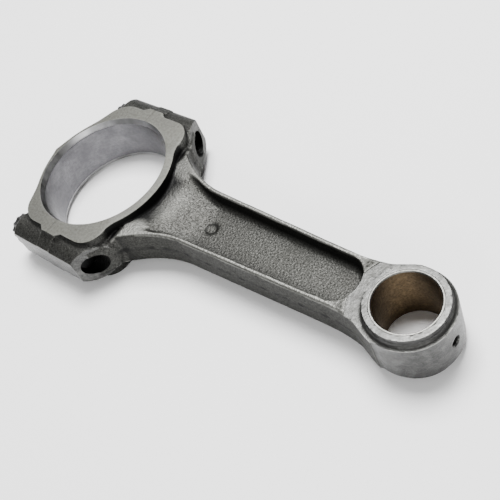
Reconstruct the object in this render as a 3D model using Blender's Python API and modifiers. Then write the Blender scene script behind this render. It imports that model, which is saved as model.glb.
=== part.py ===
# Forged I-beam connecting rod with a bolted bearing cap.
#
# The rod lies flat.  Its long axis is X with the big end towards -X, both bores
# run along Z, and the two cap screws lie along X on either side of the big bore.
# Shapes are drawn in millimetres about the centre of the big bore, and become
# metres when their meshes are made.

import math

import bmesh
import bpy
from mathutils import Matrix, Vector

MM = 0.001

# Driving dimensions.
CENTRE_DISTANCE = 152.4
BIG_BORE_R = 28.26
BIG_HALF_WIDTH = 11.94
SMALL_HALF_WIDTH = 12.7
PIN_BORE_R = 11.77
SCREW_AXIS_Y = 35.0
FIT_GAP = 0.3

# Big end.
CHAMFER_R = 1.15
CHAMFER_DEPTH = 2.4
ROD_RING_R = 33.0
CAP_RING_R = 30.4
CROWN_R = 34.0
CROWN_HALF = 7.8
BOSS_R = 9.4
BOSS_Y = 35.6
SIDE_FLAT_Y = 42.2
SHOULDER_X = 22.2
SHOULDER_SLOPE = 0.65
SHOULDER_INNER_Y = 28.9
SEAT_X = -21.0
SPOTFACE_R = 8.4
EAR_OUTER_Y = 26.0
EAR_INNER_X = -5.0
EAR_INNER_Y = 20.0
BLOCK_ROD_X = 3.8
BLOCK_CAP_X = -4.6
BLOCK_INNER_Y = 26.0
BLOCK_HALF = 10.3
BLOCK_EDGE_HALF = 6.9

# Thrust face: a ring that widens into an ear beside each screw.
FACE_BLOCK_Y = 36.3
FACE_EAR_Y = 34.4
ROD_FACE_STEP_X = (5.0, 7.5)
CAP_FACE_STEP_X = (-3.0, -5.5)
ROD_EAR_CENTRE = (16.0, 25.2)
ROD_EAR_JOIN = (26.0, 21.2)
ROD_RING_START = -31.0
CAP_EAR_CENTRE = (-14.0, 27.7)
CAP_EAR_JOIN = (-23.2, 21.4)
CAP_RING_START = -142.5

# Beam.
FORGED_HALF = 8.5
WEB_HALF = 2.0
FLANGE_WIDTH = 1.95
RAMP_HEIGHT = 6.7
RAMP_START_X = 34.0
RAMP_END_X = 58.0
POCKET_START_X = 24.0
POCKET_ROUND_X = 124.0
POCKET_END_X = 132.4
POCKET_MAX_Y = 16.8
POCKET_DRAFT = 1.5
BEAM_END_X = 146.0

# Small end.
SMALL_BODY_R = 16.6
SMALL_BODY_HALF = 9.2
SMALL_RING_R = 14.75
BUSHING_R = 12.67
BUSHING_INSET = 0.1
OIL_HOLE_R = 1.8

# Cap screws.
SCREW_LENGTH = 38.1
SCREW_PILOT_R = 5.2
SCREW_PILOT_LENGTH = 20.5
SCREW_SHANK_R = 4.85
CAP_HOLE_R = 5.55
ROD_HOLE_R = 5.2
SCREW_TIP = 0.8
HEAD_FLANGE_R = 7.2
HEAD_FLANGE_T = 1.8
HEAD_EDGE = 0.4
HEAD_STAR_R = 6.2
HEAD_STAR_VALLEY_R = 5.5
HEAD_HEIGHT = 6.2
STAR_POINTS = 12

# Dowel pins.
DOWEL_R = 1.5
DOWEL_HALF_LENGTH = 4.0
DOWEL_Z = 8.1

# The object stands on Z = 0 with its bounding box centred over the origin.
X_MIN = -CROWN_R
X_MAX = CENTRE_DISTANCE + SMALL_BODY_R
BIG_CENTRE = Vector((-0.5 * (X_MIN + X_MAX), 0.0, SMALL_HALF_WIDTH)) * MM


# ---- scene set-up ----

def clear_scene():
    for thing in list(bpy.data.objects):
        bpy.data.objects.remove(thing, do_unlink=True)


def make_collection(name):
    collection = bpy.data.collections.new(name)
    bpy.context.scene.collection.children.link(collection)
    return collection


def make_material(name, colour, roughness):
    material = bpy.data.materials.new(name)
    material.use_nodes = True
    shader = material.node_tree.nodes["Principled BSDF"]
    shader.inputs["Base Color"].default_value = (*colour, 1.0)
    shader.inputs["Roughness"].default_value = roughness
    shader.inputs["Metallic"].default_value = 1.0
    return material


clear_scene()
parts = make_collection("connecting_rod")
cutters = make_collection("cutters")


# ---- outlines ----

def arc(centre, radius, start, end, steps):
    """Points along an arc, from the start angle to the end angle in degrees."""
    angles = [math.radians(start + (end - start) * i / steps) for i in range(steps + 1)]
    return [(centre[0] + radius * math.cos(a), centre[1] + radius * math.sin(a)) for a in angles]


def both_sides(half):
    """A closed outline from its half at negative Y, drawn from end to end."""
    return half + [(x, -y) for x, y in reversed(half)]


def beam_half_width(x):
    """A straight taper that flares out by a parabola at each end."""
    taper = 13.6 - 0.0303 * (x - 60.0)
    return taper + 0.0122 * max(57.0 - x, 0.0) ** 2 + 0.010 * max(x - 124.0, 0.0) ** 2


def pocket_half_width(x):
    """The pocket keeps one flange width inside the beam, and ends in a half ellipse."""
    width = min(beam_half_width(x) - FLANGE_WIDTH, POCKET_MAX_Y)
    past = max(x - POCKET_ROUND_X, 0.0) / (POCKET_END_X - POCKET_ROUND_X)
    return width * math.sqrt(max(1.0 - past * past, 0.0))


def pocket_floor(x):
    """The web is flat along the beam and rises towards the big end."""
    rise = min(max((RAMP_END_X - x) / (RAMP_END_X - RAMP_START_X), 0.0), 1.0)
    return WEB_HALF + (RAMP_HEIGHT - WEB_HALF) * rise


def shoulder_x(y):
    """The sloping face that each screw hole comes out of."""
    return SHOULDER_X - SHOULDER_SLOPE * (y - SCREW_AXIS_Y)


def rod_outline():
    inner = SHOULDER_INNER_Y
    half = [(FIT_GAP / 2, -SCREW_AXIS_Y), (SHOULDER_X, -SCREW_AXIS_Y), (shoulder_x(inner), -inner)]
    steps = 30
    for i in range(steps + 1):
        x = 28.0 + (BEAM_END_X - 28.0) * i / steps
        half.append((x, -beam_half_width(x)))
    return both_sides(half)


def rod_face_outline():
    lobe_r = FACE_EAR_Y - ROD_EAR_CENTRE[1]
    top, foot = ROD_FACE_STEP_X
    half = [(FIT_GAP / 2, -FACE_BLOCK_Y), (top, -FACE_BLOCK_Y), (foot, -FACE_EAR_Y)]
    half += arc((ROD_EAR_CENTRE[0], -ROD_EAR_CENTRE[1]), lobe_r, -90, 0, 8)
    half += [(ROD_EAR_JOIN[0], -ROD_EAR_JOIN[1])]
    half += arc((0.0, 0.0), ROD_RING_R, ROD_RING_START, 0, 10)
    return both_sides(half)[:-1]


def cap_face_outline():
    lobe_r = FACE_EAR_Y - CAP_EAR_CENTRE[1]
    top, foot = CAP_FACE_STEP_X
    half = [(-FIT_GAP / 2, -FACE_BLOCK_Y), (top, -FACE_BLOCK_Y), (foot, -FACE_EAR_Y)]
    half += arc((CAP_EAR_CENTRE[0], -CAP_EAR_CENTRE[1]), lobe_r, -90, -180, 8)
    half += [(CAP_EAR_JOIN[0], -CAP_EAR_JOIN[1])]
    half += arc((0.0, 0.0), CAP_RING_R, CAP_RING_START, -180, 10)
    return both_sides(half)[:-1]


def block_outline():
    """Section of the raised block at the parting face, in YZ on the +Y side."""
    slope = (BLOCK_EDGE_HALF - BLOCK_HALF) / (SIDE_FLAT_Y - FACE_BLOCK_Y)
    top = [(BLOCK_INNER_Y, BLOCK_HALF), (FACE_BLOCK_Y, BLOCK_HALF),
           (SIDE_FLAT_Y + 1.0, BLOCK_EDGE_HALF + slope)]
    return top + [(y, -z) for y, z in reversed(top)]


# ---- solids in millimetres, made as working objects ----

def working_object(name, bm):
    bmesh.ops.scale(bm, vec=(MM, MM, MM), verts=bm.verts)
    bmesh.ops.recalc_face_normals(bm, faces=bm.faces)
    mesh = bpy.data.meshes.new(name)
    bm.to_mesh(mesh)
    bm.free()
    shape = bpy.data.objects.new(name, mesh)
    shape.location = BIG_CENTRE
    shape.hide_render = True
    shape.display_type = "WIRE"
    cutters.objects.link(shape)
    return shape


def evaluated_mesh(source):
    bpy.context.view_layer.update()
    graph = bpy.context.evaluated_depsgraph_get()
    return bpy.data.meshes.new_from_object(source.evaluated_get(graph))


def slab(name, outline, half_thickness):
    curve = bpy.data.curves.new(name, "CURVE")
    curve.dimensions = "2D"
    curve.fill_mode = "BOTH"
    curve.extrude = half_thickness
    spline = curve.splines.new("POLY")
    spline.points.add(len(outline) - 1)
    for point, (x, y) in zip(spline.points, outline):
        point.co = (x, y, 0.0, 1.0)
    spline.use_cyclic_u = True
    drawn = bpy.data.objects.new(name, curve)
    cutters.objects.link(drawn)
    bm = bmesh.new()
    bm.from_mesh(evaluated_mesh(drawn))
    bpy.data.objects.remove(drawn, do_unlink=True)
    bmesh.ops.remove_doubles(bm, verts=bm.verts, dist=0.001)
    return working_object(name, bm)


def box(name, low, high):
    bm = bmesh.new()
    bmesh.ops.create_cube(bm, size=1.0)
    bmesh.ops.scale(bm, vec=[h - l for l, h in zip(low, high)], verts=bm.verts)
    bmesh.ops.translate(bm, vec=[(h + l) / 2 for l, h in zip(low, high)], verts=bm.verts)
    return working_object(name, bm)


def cylinder(name, centre, axis, radius, length, segments):
    bm = bmesh.new()
    bmesh.ops.create_cone(bm, cap_ends=True, segments=segments,
                          radius1=radius, radius2=radius, depth=length)
    if axis == "X":
        bmesh.ops.rotate(bm, matrix=Matrix.Rotation(math.radians(90), 3, "Y"), verts=bm.verts)
    bmesh.ops.translate(bm, vec=centre, verts=bm.verts)
    return working_object(name, bm)


def bar_x(name, x0, x1, y, z, radius, segments=48):
    return cylinder(name, ((x0 + x1) / 2, y, z), "X", radius, x1 - x0, segments)


def disc(name, x, radius, half_thickness, segments=96):
    return cylinder(name, (x, 0.0, 0.0), "Z", radius, 2 * half_thickness, segments)


def prism_x(name, outline, x0, x1):
    """An outline in YZ, extruded along X."""
    bm = bmesh.new()
    face = bm.faces.new([bm.verts.new((x0, y, z)) for y, z in outline])
    grown = bmesh.ops.extrude_face_region(bm, geom=[face])["geom"]
    far_end = [v for v in grown if isinstance(v, bmesh.types.BMVert)]
    bmesh.ops.translate(bm, vec=(x1 - x0, 0.0, 0.0), verts=far_end)
    return working_object(name, bm)


def turned(name, profile, x, segments):
    """A solid turned about Z, from (radius, z) points listed from top to bottom."""
    bm = bmesh.new()
    verts = [bm.verts.new((r * MM, 0.0, z * MM)) for r, z in profile]
    for pair in zip(verts, verts[1:]):
        bm.edges.new(pair)
    mesh = bpy.data.meshes.new(name)
    bm.to_mesh(mesh)
    bm.free()
    shape = bpy.data.objects.new(name, mesh)
    cutters.objects.link(shape)
    screw = shape.modifiers.new("turn", "SCREW")
    screw.steps = segments
    screw.render_steps = segments
    screw.use_merge_vertices = True
    screw.merge_threshold = 0.00001
    bm = bmesh.new()
    bm.from_mesh(evaluated_mesh(shape))
    bpy.data.objects.remove(shape, do_unlink=True)
    bmesh.ops.scale(bm, vec=(1 / MM, 1 / MM, 1 / MM), verts=bm.verts)
    bmesh.ops.translate(bm, vec=(x, 0.0, 0.0), verts=bm.verts)
    return working_object(name, bm)


def pocket_cutter(name, side):
    """A tapered trough lofted along the beam, on the upper (1) or lower (-1) face."""
    bm = bmesh.new()
    rings = []
    steps = 36
    for i in range(steps + 1):
        # Stations crowd towards the rounded end.
        share = math.sin(math.radians(90.0 * i / steps))
        x = POCKET_START_X + (POCKET_END_X - 0.05 - POCKET_START_X) * share
        floor = pocket_floor(x)
        top = FORGED_HALF + 1.0
        wide = pocket_half_width(x)
        narrow = wide * (1.0 - POCKET_DRAFT / POCKET_MAX_Y * (FORGED_HALF - floor) / FORGED_HALF)
        ring = [(-wide, top), (-narrow, floor), (narrow, floor), (wide, top)]
        rings.append([bm.verts.new((x, y, side * z)) for y, z in ring])
    for ring, following in zip(rings, rings[1:]):
        for i in range(4):
            j = (i + 1) % 4
            bm.faces.new((ring[i], ring[j], following[j], following[i]))
    bm.faces.new(rings[0])
    bm.faces.new(rings[-1])
    return working_object(name, bm)


def combine(target, tool, operation):
    """Apply one exact Boolean to the target, and remove the tool."""
    modifier = target.modifiers.new(tool.name, "BOOLEAN")
    modifier.object = tool
    modifier.operation = operation
    modifier.solver = "EXACT"
    mesh = evaluated_mesh(target)
    target.modifiers.clear()
    target.data = mesh
    bpy.data.objects.remove(tool, do_unlink=True)


def add(target, tools):
    for tool in tools:
        combine(target, tool, "UNION")


def cut(target, tools):
    for tool in tools:
        combine(target, tool, "DIFFERENCE")


# ---- cutters shared by the rod and its cap ----

def crank_bore():
    face_r = BIG_BORE_R + CHAMFER_R
    wall_z = BIG_HALF_WIDTH - CHAMFER_DEPTH
    top = BIG_HALF_WIDTH + 1.0
    profile = [(0.0, top), (face_r, top), (face_r, BIG_HALF_WIDTH), (BIG_BORE_R, wall_z),
               (BIG_BORE_R, -wall_z), (face_r, -BIG_HALF_WIDTH), (face_r, -top), (0.0, -top)]
    return turned("crank_bore", profile, 0.0, 120)


def side_flats():
    reach = SIDE_FLAT_Y + 6.0
    return [box("side_flat", (-40, SIDE_FLAT_Y, -15), (40, reach, 15)),
            box("side_flat", (-40, -reach, -15), (40, -SIDE_FLAT_Y, 15))]


def dowel_holes():
    reach = DOWEL_HALF_LENGTH + FIT_GAP
    radius = DOWEL_R + FIT_GAP
    return [bar_x("dowel_hole", -reach, reach, side * SCREW_AXIS_Y, side * DOWEL_Z, radius, 24)
            for side in (-1, 1)]


def bosses(x0, x1):
    return [bar_x("boss", x0, x1, side * BOSS_Y, 0.0, BOSS_R) for side in (-1, 1)]


def parting_blocks(x0, x1):
    upper = block_outline()
    lower = [(-y, z) for y, z in upper]
    return [prism_x("block", upper, x0, x1), prism_x("block", lower, x0, x1)]


# ---- pieces ----

def finish_piece(shape, name, material, origin=(0.0, 0.0, 0.0)):
    """Name the piece, move its origin to the given point and shade its round faces smooth."""
    shift = Vector(origin) * MM
    shape.data.transform(Matrix.Translation(-shift))
    shape.location = BIG_CENTRE + shift
    shape.name = name
    shape.data.name = name
    shape.data.materials.clear()
    shape.data.materials.append(material)
    shape.data.shade_smooth()
    shape.data.set_sharp_from_angle(angle=math.radians(30))
    shape.hide_render = False
    shape.display_type = "TEXTURED"
    cutters.objects.unlink(shape)
    parts.objects.link(shape)


def make_rod(material):
    rod = slab("rod", rod_outline(), FORGED_HALF)
    add(rod, bosses(FIT_GAP / 2, shoulder_x(SHOULDER_INNER_Y)))
    outer = SIDE_FLAT_Y + 5.0
    inner = SHOULDER_INNER_Y
    for side in (-1, 1):
        beyond = [(shoulder_x(inner), side * inner), (shoulder_x(outer), side * outer),
                  (50.0, side * outer), (50.0, side * inner)]
        cut(rod, [slab("shoulder", beyond, 15.0)])
    cut(rod, [pocket_cutter("pocket", 1), pocket_cutter("pocket", -1)])
    add(rod, parting_blocks(FIT_GAP / 2, BLOCK_ROD_X))
    add(rod, [slab("thrust_face", rod_face_outline(), BIG_HALF_WIDTH)])
    add(rod, [disc("small_body", CENTRE_DISTANCE, SMALL_BODY_R, SMALL_BODY_HALF),
              disc("small_ring", CENTRE_DISTANCE, SMALL_RING_R, SMALL_HALF_WIDTH)])
    cut(rod, side_flats())
    cut(rod, [crank_bore()])
    cut(rod, [disc("pin_housing", CENTRE_DISTANCE, BUSHING_R + FIT_GAP, SMALL_HALF_WIDTH + 1.0)])
    cut(rod, [bar_x("screw_hole", -1.0, 32.0, side * SCREW_AXIS_Y, 0.0, ROD_HOLE_R) for side in (-1, 1)])
    cut(rod, dowel_holes())
    cut(rod, [bar_x("oil_hole", CENTRE_DISTANCE, CENTRE_DISTANCE + 20.0, 0.0, 0.0, OIL_HOLE_R, 24)])
    finish_piece(rod, "rod_forging", material)


def make_cap(material):
    face = -FIT_GAP / 2
    cap = disc("cap", 0.0, CROWN_R, CROWN_HALF)
    ear = [(face, -SCREW_AXIS_Y), (SEAT_X, -SCREW_AXIS_Y), (SEAT_X, -EAR_OUTER_Y),
           (EAR_INNER_X, -EAR_INNER_Y)]
    add(cap, [slab("ears", both_sides(ear), FORGED_HALF)])
    add(cap, bosses(SEAT_X, face))
    add(cap, parting_blocks(BLOCK_CAP_X, face))
    add(cap, [slab("thrust_face", cap_face_outline(), BIG_HALF_WIDTH)])
    cut(cap, [box("parting_face", (face, -60, -20), (60, 60, 20))])
    cut(cap, side_flats())
    cut(cap, [crank_bore()])
    for side in (-1, 1):
        y = side * SCREW_AXIS_Y
        cut(cap, [bar_x("screw_hole", SEAT_X - 1.0, 1.0, y, 0.0, CAP_HOLE_R),
                  bar_x("spotface", SEAT_X - 15.0, SEAT_X, y, 0.0, SPOTFACE_R)])
    cut(cap, dowel_holes())
    finish_piece(cap, "bearing_cap", material)


def make_screw(name, side, material):
    """A twelve-point cap screw, turned about Z and then laid along X, head outwards."""
    rim = HEAD_FLANGE_R - HEAD_EDGE
    step = SCREW_PILOT_R - SCREW_SHANK_R
    profile = [(0.0, HEAD_FLANGE_T), (rim, HEAD_FLANGE_T),
               (HEAD_FLANGE_R, HEAD_FLANGE_T - HEAD_EDGE), (HEAD_FLANGE_R, 0.0),
               (SCREW_PILOT_R, 0.0), (SCREW_PILOT_R, -SCREW_PILOT_LENGTH),
               (SCREW_SHANK_R, -SCREW_PILOT_LENGTH - step), (SCREW_SHANK_R, SCREW_TIP - SCREW_LENGTH),
               (SCREW_SHANK_R - SCREW_TIP, -SCREW_LENGTH), (0.0, -SCREW_LENGTH)]
    screw = turned(name, profile, 0.0, 48)
    star = []
    for i in range(2 * STAR_POINTS):
        angle = math.pi * i / STAR_POINTS
        radius = HEAD_STAR_R if i % 2 == 0 else HEAD_STAR_VALLEY_R
        star.append((radius * math.cos(angle), radius * math.sin(angle)))
    head = slab("star", star, (HEAD_HEIGHT - HEAD_FLANGE_T / 2) / 2)
    head.data.transform(Matrix.Translation((0, 0, (HEAD_HEIGHT + HEAD_FLANGE_T / 2) / 2 * MM)))
    add(screw, [head])
    seat = Vector((SEAT_X - FIT_GAP, side * SCREW_AXIS_Y, 0.0))
    screw.data.transform(Matrix.Rotation(math.radians(-90), 4, "Y"))
    screw.data.transform(Matrix.Translation(seat * MM))
    finish_piece(screw, name, material, seat)


def make_bushing(material):
    half = SMALL_HALF_WIDTH - BUSHING_INSET
    bushing = disc("bushing", CENTRE_DISTANCE, BUSHING_R, half)
    cut(bushing, [disc("pin_bore", CENTRE_DISTANCE, PIN_BORE_R, half + 1.0)])
    cut(bushing, [bar_x("oil_hole", CENTRE_DISTANCE, CENTRE_DISTANCE + 20.0, 0.0, 0.0, OIL_HOLE_R, 24)])
    finish_piece(bushing, "pin_bushing", material, (CENTRE_DISTANCE, 0.0, 0.0))


def make_dowel(name, side, material):
    y = side * SCREW_AXIS_Y
    z = side * DOWEL_Z
    dowel = bar_x(name, -DOWEL_HALF_LENGTH, DOWEL_HALF_LENGTH, y, z, DOWEL_R, 24)
    finish_piece(dowel, name, material, (0.0, y, z))


steel = make_material("forged_steel", (0.33, 0.33, 0.32), 0.45)
cap_steel = make_material("cap_steel", (0.36, 0.36, 0.34), 0.42)
black_steel = make_material("black_oxide_steel", (0.08, 0.08, 0.085), 0.40)
bronze = make_material("bushing_bronze", (0.42, 0.27, 0.12), 0.38)
pin_steel = make_material("pin_steel", (0.55, 0.55, 0.56), 0.25)

make_rod(steel)
make_cap(cap_steel)
make_screw("cap_screw_near", -1, black_steel)
make_screw("cap_screw_far", 1, black_steel)
make_bushing(bronze)
make_dowel("dowel_near", -1, pin_steel)
make_dowel("dowel_far", 1, pin_steel)
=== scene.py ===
import math

import bmesh
import bpy
import numpy as np
from mathutils import Matrix, Vector


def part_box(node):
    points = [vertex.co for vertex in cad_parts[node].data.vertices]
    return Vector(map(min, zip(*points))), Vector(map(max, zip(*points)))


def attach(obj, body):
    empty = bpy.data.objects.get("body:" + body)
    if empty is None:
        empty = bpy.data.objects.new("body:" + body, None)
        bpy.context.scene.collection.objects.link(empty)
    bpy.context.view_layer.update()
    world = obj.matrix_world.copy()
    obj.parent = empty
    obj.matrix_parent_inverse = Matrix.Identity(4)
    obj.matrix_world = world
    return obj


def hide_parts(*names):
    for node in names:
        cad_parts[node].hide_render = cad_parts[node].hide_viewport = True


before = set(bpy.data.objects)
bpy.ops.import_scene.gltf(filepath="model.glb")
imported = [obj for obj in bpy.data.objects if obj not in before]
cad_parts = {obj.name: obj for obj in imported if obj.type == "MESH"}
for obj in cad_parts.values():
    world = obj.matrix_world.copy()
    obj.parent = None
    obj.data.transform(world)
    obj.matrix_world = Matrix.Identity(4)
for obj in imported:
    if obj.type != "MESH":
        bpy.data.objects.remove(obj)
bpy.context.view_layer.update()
print("frame loaded:", ", ".join(sorted(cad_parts)))

mm = 0.001
pinBoreDistance = 152.4                      # centre to centre, in mm
bushingLow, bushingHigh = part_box("pin_bushing")
pinCentre = (np.array(bushingLow) + np.array(bushingHigh)) / 2
bigCentre = pinCentre - np.array([pinBoreDistance, 0, 0]) * mm


def meshPiece(name, points, faces):
    # points are in mm about the big bore's centre, faces index them, four to a face
    mesh = bpy.data.meshes.new(name)
    points = points * mm + bigCentre
    mesh.vertices.add(len(points))
    mesh.vertices.foreach_set("co", points.astype(np.float32).ravel())
    mesh.loops.add(faces.size)
    mesh.loops.foreach_set("vertex_index", faces.astype(np.int32).ravel())
    mesh.polygons.add(len(faces))
    starts = np.arange(len(faces), dtype=np.int32) * faces.shape[1]
    mesh.polygons.foreach_set("loop_start", starts)
    mesh.update(calc_edges=True)
    mesh.validate()
    piece = bpy.data.objects.new(name, mesh)
    bpy.context.scene.collection.objects.link(piece)
    return piece


def shadeRound(piece, angle):
    # smooth shading, with a sharp edge wherever two faces turn by more than the angle
    piece.data.shade_smooth()
    piece.data.set_sharp_from_angle(angle=math.radians(angle))


def placesOf(items, placeKey, normals, normalKey):
    # places in mm about the big bore's centre, and normals, of a mesh's points or faces
    place, normal = np.zeros(len(items) * 3, np.float32), np.zeros(len(items) * 3, np.float32)
    items.foreach_get(placeKey, place)
    normals.foreach_get(normalKey, normal)
    return (place.reshape(-1, 3) - bigCentre) / mm, normal.reshape(-1, 3)


def facesOf(piece):
    # centre and normal of each face
    faces = piece.data.polygons
    return placesOf(faces, "center", faces, "normal")


def pointsOf(piece):
    # place and normal of each point
    return placesOf(piece.data.vertices, "co", piece.data.vertex_normals, "vector")


def saveMark(piece, name, value):
    # one number for each point, which the materials read by name
    marks = piece.data.attributes
    mark = marks[name] if name in marks else marks.new(name, "FLOAT", "POINT")
    mark.data.foreach_set("value", value.astype(np.float32))


def neighbourMean(values, ends):
    # the mean of the values at the far ends of each point's mesh edges
    count = len(values)
    total = np.zeros(values.shape)
    for near, far in ((0, 1), (1, 0)):
        for column in range(values.shape[1]):
            total[:, column] += np.bincount(ends[:, near], values[ends[:, far], column], count)
    return total / np.maximum(np.bincount(ends.ravel(), minlength=count), 1)[:, None]


def markEdges(piece, fullStand=0.12):
    # near 1 on outward edges, near 0 on flat ground and below it in hollows: how far each
    # point stands out from the middle of its neighbours, along its normal, over fullStand mm
    points, normals = pointsOf(piece)
    ends = np.zeros(len(piece.data.edges) * 2, np.int32)
    piece.data.edges.foreach_get("vertices", ends)
    ends = ends.reshape(-1, 2)
    stand = ((points - neighbourMean(points, ends)) * normals).sum(1, keepdims=True)
    stand = np.clip(stand / fullStand, -1, 1)
    stand = 0.5 * stand + 0.5 * neighbourMean(stand, ends)
    saveMark(piece, "edge", stand[:, 0])


def roundJoin(a, b, radius):
    # the union of two solids, with a fillet of that radius where they meet
    fillet = np.hypot(np.maximum(radius - a, 0), np.maximum(radius - b, 0))
    return np.maximum(radius, np.minimum(a, b)) - fillet


def roundCut(a, b, radius):
    # what two solids share, with its edge rounded to that radius
    rounding = np.hypot(np.maximum(radius + a, 0), np.maximum(radius + b, 0))
    return np.minimum(-radius, np.maximum(a, b)) + rounding


def easeIn(share):
    # rises from 0 to 1 and is level at both ends
    return share * share * (3 - 2 * share)


def cutsAlong(axis, axes, value, field, step, reach=0.01, tries=5):
    # where the skin cuts the grid's edges along one axis, closed in on by false position, the
    # skin's normal there, from the field's change over a reach, and the four cells round each
    # of those edges, once in the grid's order and once in the order of an outward face
    inside = value < 0
    strides = np.array([inside.shape[1] * inside.shape[2], inside.shape[2], 1])
    lower = tuple(slice(0, -1) if d == axis else slice(None) for d in range(3))
    upper = tuple(slice(1, None) if d == axis else slice(None) for d in range(3))
    crossing = inside[lower] != inside[upper]
    start = np.argwhere(crossing)
    corner = np.stack([axes[d][start[:, d]] for d in range(3)], 1)
    along = np.eye(3)[axis] * step
    near, far = value[lower][crossing], value[upper][crossing]
    nearAt, farAt = np.zeros(len(near)), np.ones(len(near))
    leaving = near > 0
    for turn in range(tries):
        share = nearAt + (farAt - nearAt) * np.clip(near / (near - far), 0.02, 0.98)
        point = corner + share[:, None] * along
        here = field(*point.T)
        same = (here < 0) == (near < 0)
        near, nearAt = np.where(same, here, near), np.where(same, share, nearAt)
        far, farAt = np.where(same, far, here), np.where(same, farAt, share)
    share = nearAt + (farAt - nearAt) * near / (near - far)
    point = corner + share[:, None] * along
    here = field(*point.T)
    normal = np.stack([field(*(point + reach * np.eye(3)[d]).T) - here for d in range(3)], 1)
    normal /= np.linalg.norm(normal, axis=1, keepdims=True) + 1e-12
    home = start @ strides
    first, second = strides[(axis + 1) % 3], strides[(axis + 2) % 3]
    ring = np.stack([home, home - first, home - first - second, home - second], 1)
    return point, normal, ring, np.where(leaving[:, None], ring[:, ::-1], ring)


def skinOf(name, field, low, high, step, pullToMiddle=0.03):
    # The skin where field is zero.  Each cell of a grid that the skin passes through gets
    # one point: the one nearest to all the tangent planes where the skin cuts the cell's
    # edges, so flats stay flat and machined edges stay sharp.  Each grid edge that the skin
    # cuts gets one face, between the four cells around it.
    axes = [np.arange(a, b + step, step) for a, b in zip(low, high)]
    value = field(*np.meshgrid(*axes, indexing="ij", sparse=True))
    cuts = [cutsAlong(axis, axes, value, field, step) for axis in range(3)]
    points, normals = (np.concatenate([np.repeat(cut[k], 4, 0) for cut in cuts]) for k in (0, 1))
    cells = np.concatenate([cut[2].ravel() for cut in cuts])
    faces = np.concatenate([cut[3] for cut in cuts])
    used, index = np.unique(cells, return_inverse=True)

    def gather(weights):
        return np.bincount(index, weights, len(used))

    count = gather(np.ones(len(index)))
    middle = np.stack([gather(points[:, d]) for d in range(3)], 1) / count[:, None]
    planes = np.stack([[gather(normals[:, a] * normals[:, b]) for a in range(3)]
                       for b in range(3)])
    planes = np.moveaxis(planes, 2, 0)
    offset = (normals * points).sum(1)
    pull = np.stack([gather(normals[:, d] * offset) for d in range(3)], 1)
    hold = pullToMiddle * count
    planes = planes + hold[:, None, None] * np.eye(3)
    pull = pull + hold[:, None] * middle
    placed = np.linalg.solve(planes, pull[:, :, None])[:, :, 0]
    place = np.stack(np.unravel_index(used, value.shape), 1)
    cellLow = np.stack([axes[d][place[:, d]] for d in range(3)], 1)
    placed = np.clip(placed, cellLow, cellLow + step)
    return meshPiece(name, placed, np.searchsorted(used, faces))


# the forging, in mm about the big bore's centre: half means from the middle plane
forging = dict(
    beamHalf=13.6, beamTaper=0.0303, beamMiddle=60, bigFlare=0.0122, bigFlareFrom=57,
    smallFlare=0.0085, smallFlareFrom=124, beamFrom=20, beamTo=147,
    beamTop=8.45, topRise=0.6, topRiseFrom=118, topRiseLength=16,
    neckFrom=29.5, neckLength=4.5, neckDrop=2.2,
    sideSwell=0.2, sideDraft=0.045, flangeEdge=0.9, flangeWidth=1.95,
    pocketRoundFrom=124, pocketRoundLength=8.4, pocketDraft=0.14, pocketEdge=0.6,
    pocketFillet=2.3, webHalf=2.0, rampHeight=6.6, rampFrom=59, rampTo=34, rampDish=1.9,
    rampDishAt=15, rampLean=0.97,
    flashHeight=0.22, flashHalf=0.6,
    dimpleAt=60, dimpleRadius=2.5, dimpleDepth=0.95, dimpleEdge=0.4, dimpleHeart=1.3,
    dimpleHeartRise=0.2,
    bigBore=28.26, chamferDepth=2.4, chamferWidth=1.15, thrustHalf=11.94,
    rodRing=33.0, rodEarX=25.2, earY=34.4, rodEarRound=9.2, earFillet=2.0,
    blockY=36.3, blockFrom=26, blockSlope=(0.5, 0.866), blockEdge=0.5, rodBlockX=3.8,
    blockHalf=10.3, rodStepX=5.0, stepFrom=31, stepSlope=(0.605, 0.796), wallFillet=1.2,
    bossY=35.2, bossRadius=9.3, bossEdge=0.4, bossFillet=1.5, coreHalf=6.4, coreTo=27,
    coreFillet=2.5, shoulderX=22.2, shoulderSlope=0.65, screwY=35.0, screwHole=5.2,
    screwHoleFrom=-1, sideFlatY=42.18,
    smallBody=16.6, smallBodyHalf=9.0, smallFillet=3.0, millRadius=21.5, millHalf=8.75,
    smallRing=14.75, smallRingHalf=12.65, ringFillet=1.7, housing=12.72,
    oilHole=1.8, oilHoleFrom=160, oilMouth=0.7,
    dowelY=35.0, dowelZ=8.1, dowelHole=1.52, dowelDepth=3.65,
    partingGap=0.03, sharpAngle=38,
    gridLow=(-1.07, -43.33, -13.41), gridHigh=(170.1, 43.4, 13.5), cellSize=0.62)


def flashWave(x):
    # two waves of unlike length multiplied, so the flash comes and goes along the beam
    return np.sin(x * 0.9) * np.sin(x * 0.23 + 1)


def crankBore(r, w):
    # a cylinder, widened by a cone at each face
    f = forging
    slope = f["chamferWidth"] / f["chamferDepth"]
    cone = f["bigBore"] + (w - f["thrustHalf"] + f["chamferDepth"]) * slope
    return np.minimum(r - f["bigBore"], (r - cone) / math.hypot(1, slope))


def partingBlock(v, w, end):
    # flat on top, then sloping down to the side flat
    f = forging
    across, down = f["blockSlope"]
    slope = across * (v - f["blockY"]) + down * (w - f["blockHalf"])
    block = roundCut(slope, w - f["blockHalf"], f["blockEdge"])
    return np.maximum(block, np.maximum(end, f["blockFrom"] - v))


def blockStep(v, fromEnd):
    # where the thrust face's outline runs out over a block: straight, then a sloping end
    f = forging
    along, across = f["stepSlope"]
    out = v - f["blockY"]
    return np.maximum(np.maximum(out, along * fromEnd + across * out), f["stepFrom"] - v)


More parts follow.
